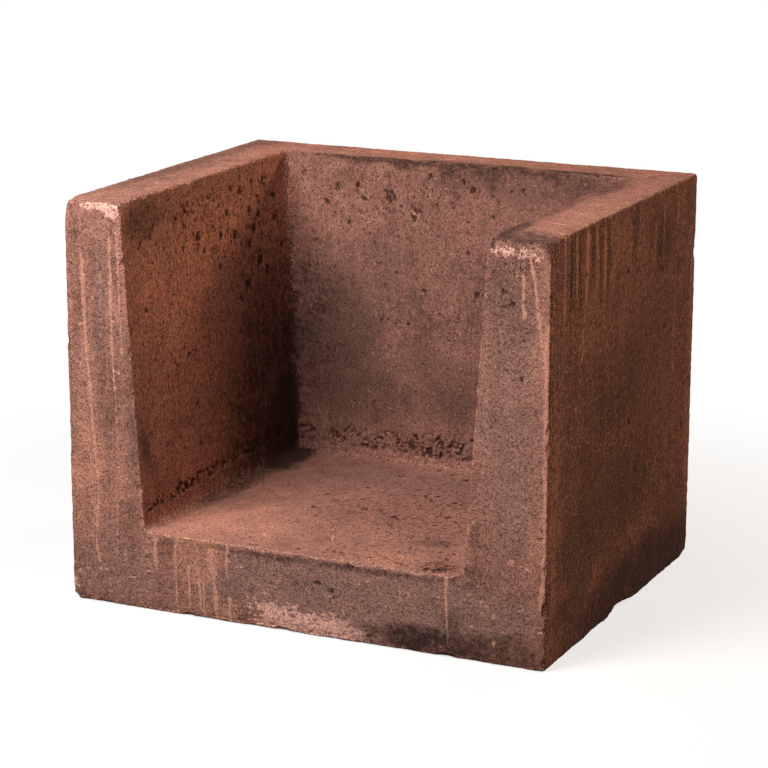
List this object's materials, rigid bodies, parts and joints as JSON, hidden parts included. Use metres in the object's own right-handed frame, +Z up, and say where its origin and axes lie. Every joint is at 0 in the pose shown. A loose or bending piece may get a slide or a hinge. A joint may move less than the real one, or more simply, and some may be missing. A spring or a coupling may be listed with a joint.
{
  "type": "concrete corner u-element",
  "caption": "Corner U-element cast in one piece: a block-shaped trough with a floor, two tapered side walls and one end wall, open at the top and at one face.",
  "frame": {"origin": "centre of the underside, on the ground", "axes": "+X runs across the open face, -Y points out of the open face, +Y points out of the end wall, +Z is up, out of the open top"},
  "size_m": [0.5, 0.4, 0.4],
  "materials": {
    "concrete": "matte"
  },
  "bodies": {
    "root": {"corner_u_element": "concrete"}
  },
  "joints": []
}
